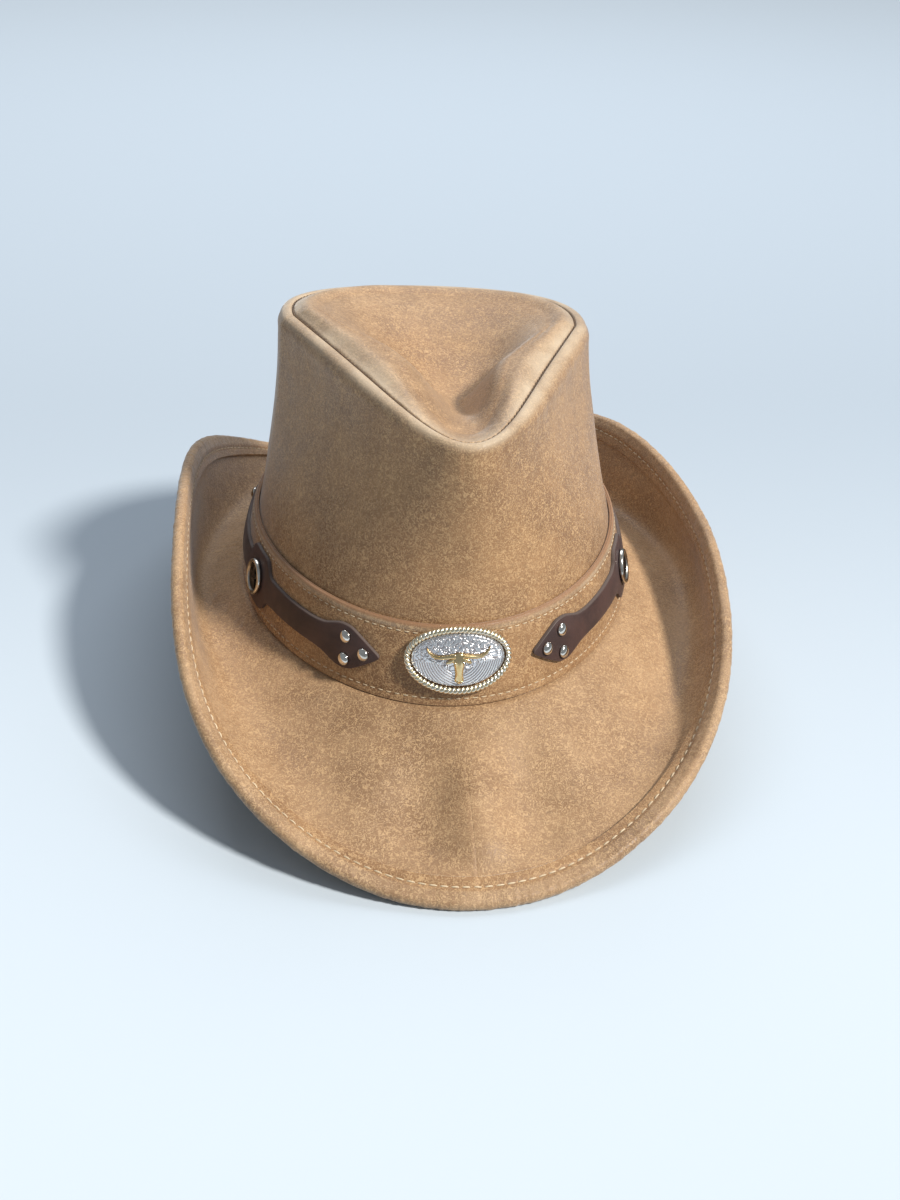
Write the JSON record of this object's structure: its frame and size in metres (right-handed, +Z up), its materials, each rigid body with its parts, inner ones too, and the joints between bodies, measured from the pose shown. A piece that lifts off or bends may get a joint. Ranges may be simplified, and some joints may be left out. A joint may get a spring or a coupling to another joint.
{
  "type": "western hat",
  "caption": "Western leather hat with a pinched teardrop crown, a rolled and wired brim, and a lift-off band carrying riveted straps, star conchos and an oval concho.",
  "frame": {"origin": "centre of the bounding box on the floor the brim stands on", "axes": "+Z up through the crown; the front of the hat faces -Y; the wearer's left is +X"},
  "size_m": [0.247, 0.3722, 0.159],
  "materials": {
    "hat_leather": "distressed, low sheen",
    "under_leather": "satin",
    "hem_leather": "distressed, satin",
    "band_leather": "distressed, satin, raw cut edges",
    "sweat_leather": "smooth, satin",
    "strap_leather": "smooth, satin, grey cut edges",
    "lining_cloth": "woven satin",
    "wire_steel": "drawn",
    "rivet_nickel": "polished nickel",
    "concho_silver": "polished, antiqued recess",
    "star_dark": "antiqued",
    "post_steel": "plain",
    "plate_silver": "engraved",
    "rope_silver": "pale gold over silver",
    "emblem_brass": "polished"
  },
  "bodies": {
    "hat": {"crown_wall": "hat_leather", "crown_tip": "hat_leather", "crown_lining": "lining_cloth", "sweatband": "sweat_leather", "brim_top": "hat_leather", "brim_under": "under_leather", "brim_hem": "hem_leather", "brim_wire": "wire_steel"},
    "band": {"hat_band": "band_leather", "strap_right": "strap_leather", "rivet_right_front_1": "rivet_nickel", "rivet_right_front_2": "rivet_nickel", "rivet_right_front_3": "rivet_nickel", "rivet_right_rear_1": "rivet_nickel", "rivet_right_rear_2": "rivet_nickel", "rivet_right_rear_3": "rivet_nickel", "side_concho_right": "concho_silver", "side_star_right": "star_dark", "side_screw_right": "post_steel", "strap_left": "strap_leather", "rivet_left_front_1": "rivet_nickel", "rivet_left_front_2": "rivet_nickel", "rivet_left_front_3": "rivet_nickel", "rivet_left_rear_1": "rivet_nickel", "rivet_left_rear_2": "rivet_nickel", "rivet_left_rear_3": "rivet_nickel", "side_concho_left": "concho_silver", "side_star_left": "star_dark", "side_screw_left": "post_steel", "front_concho_plate": "plate_silver", "front_concho_rope": "rope_silver", "front_emblem": "emblem_brass", "front_post_right": "post_steel", "front_post_left": "post_steel"}
  },
  "joints": [
    {"name": "band_lift", "type": "slide", "parent": "hat", "child": "band", "axis": [0, 0, 1], "range_m": [0, 0.15]}
  ]
}
